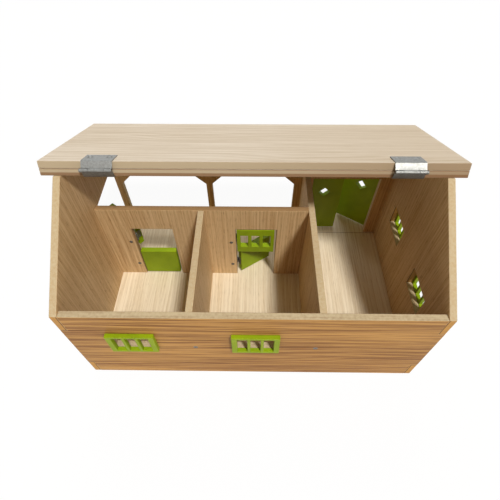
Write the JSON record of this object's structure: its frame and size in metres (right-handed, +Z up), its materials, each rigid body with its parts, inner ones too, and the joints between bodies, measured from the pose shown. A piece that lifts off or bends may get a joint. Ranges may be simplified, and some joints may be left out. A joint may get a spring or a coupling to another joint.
{
  "type": "toy barn",
  "caption": "Wooden toy barn with boxes, a store room and a porch, hinged half doors and store doors, barred windows, and a roof whose back half folds open.",
  "frame": {"origin": "middle of the base board's underside, under the middle of the base and apron", "axes": "+X along the back wall towards the store room, +Y from the back wall to the porch, +Z up"},
  "size_m": [0.51, 0.336, 0.2869],
  "materials": {
    "natural_board": "satin wood grain board",
    "green_board": "green satin paint on board",
    "steel": "bright zinc plated steel"
  },
  "bodies": {
    "barn": {"base_board": "natural_board", "back_wall": "natural_board", "left_side_wall": "natural_board", "right_side_wall": "natural_board", "box_partition": "natural_board", "store_partition": "natural_board", "box_front_wall": "natural_board", "front_panel": "natural_board", "front_roof": "natural_board", "back_window_left": "green_board", "back_window_right": "green_board", "side_window_rear": "green_board", "side_window_front": "green_board", "back_wall_screws": "steel", "left_roof_hinge_fixed_strap": "steel", "right_roof_hinge_fixed_strap": "steel", "roof_hinge_pins": "steel", "fixed_strap_screws": "steel", "left_upper_wall_leaf": "steel", "left_lower_wall_leaf": "steel", "right_upper_wall_leaf": "steel", "right_lower_wall_leaf": "steel", "wall_leaf_rivets": "steel", "door_hinge_pins": "steel", "store_left_top_wall_leaf": "steel", "store_left_bottom_wall_leaf": "steel", "store_right_top_wall_leaf": "steel", "store_right_bottom_wall_leaf": "steel", "store_wall_leaf_screws": "steel"},
    "roof_flap": {"roof_flap": "natural_board", "left_roof_hinge_flap_strap": "steel", "right_roof_hinge_flap_strap": "steel", "flap_strap_screws": "steel"},
    "left_upper_door": {"left_upper_door": "green_board", "left_upper_door_leaf": "steel", "left_upper_leaf_pins": "steel"},
    "left_lower_door": {"left_lower_door": "green_board", "left_lower_door_leaf": "steel", "left_lower_leaf_pins": "steel"},
    "right_upper_door": {"right_upper_door": "green_board", "right_upper_door_leaf": "steel", "right_upper_leaf_pins": "steel"},
    "right_lower_door": {"right_lower_door": "green_board", "right_lower_door_leaf": "steel", "right_lower_leaf_pins": "steel"},
    "store_left_door": {"store_left_door": "green_board", "store_left_top_door_leaf": "steel", "store_left_bottom_door_leaf": "steel", "store_left_leaf_pins": "steel"},
    "store_right_door": {"store_right_door": "green_board", "store_right_top_door_leaf": "steel", "store_right_bottom_door_leaf": "steel", "store_right_leaf_pins": "steel"}
  },
  "joints": [
    {"name": "roof_flap_hinge", "type": "hinge", "parent": "barn", "child": "roof_flap", "pos_m": [0, -0.02869, 0.27955], "axis": [1, 0, 0], "range_deg": [0, 236.7]},
    {"name": "left_upper_door_hinge", "type": "hinge", "parent": "barn", "child": "left_upper_door", "pos_m": [-0.1877, 0.0193, 0.10185], "axis": [0, 0, 1], "range_deg": [-143, 32]},
    {"name": "left_lower_door_hinge", "type": "hinge", "parent": "barn", "child": "left_lower_door", "pos_m": [-0.1877, 0.0193, 0.0444], "axis": [0, 0, 1], "range_deg": [0, 175]},
    {"name": "right_upper_door_hinge", "type": "hinge", "parent": "barn", "child": "right_upper_door", "pos_m": [-0.02735, 0.0193, 0.10185], "axis": [0, 0, 1], "range_deg": [0, 175]},
    {"name": "right_lower_door_hinge", "type": "hinge", "parent": "barn", "child": "right_lower_door", "pos_m": [-0.02735, 0.0193, 0.0444], "axis": [0, 0, 1], "range_deg": [-34, 141]},
    {"name": "store_left_door_hinge", "type": "hinge", "parent": "barn", "child": "store_left_door", "pos_m": [0.092, 0.1173, 0.0838], "axis": [0, 0, 1], "range_deg": [0, 100]},
    {"name": "store_right_door_hinge", "type": "hinge", "parent": "barn", "child": "store_right_door", "pos_m": [0.219, 0.1173, 0.0838], "axis": [0, 0, -1], "range_deg": [-34, 66]}
  ]
}
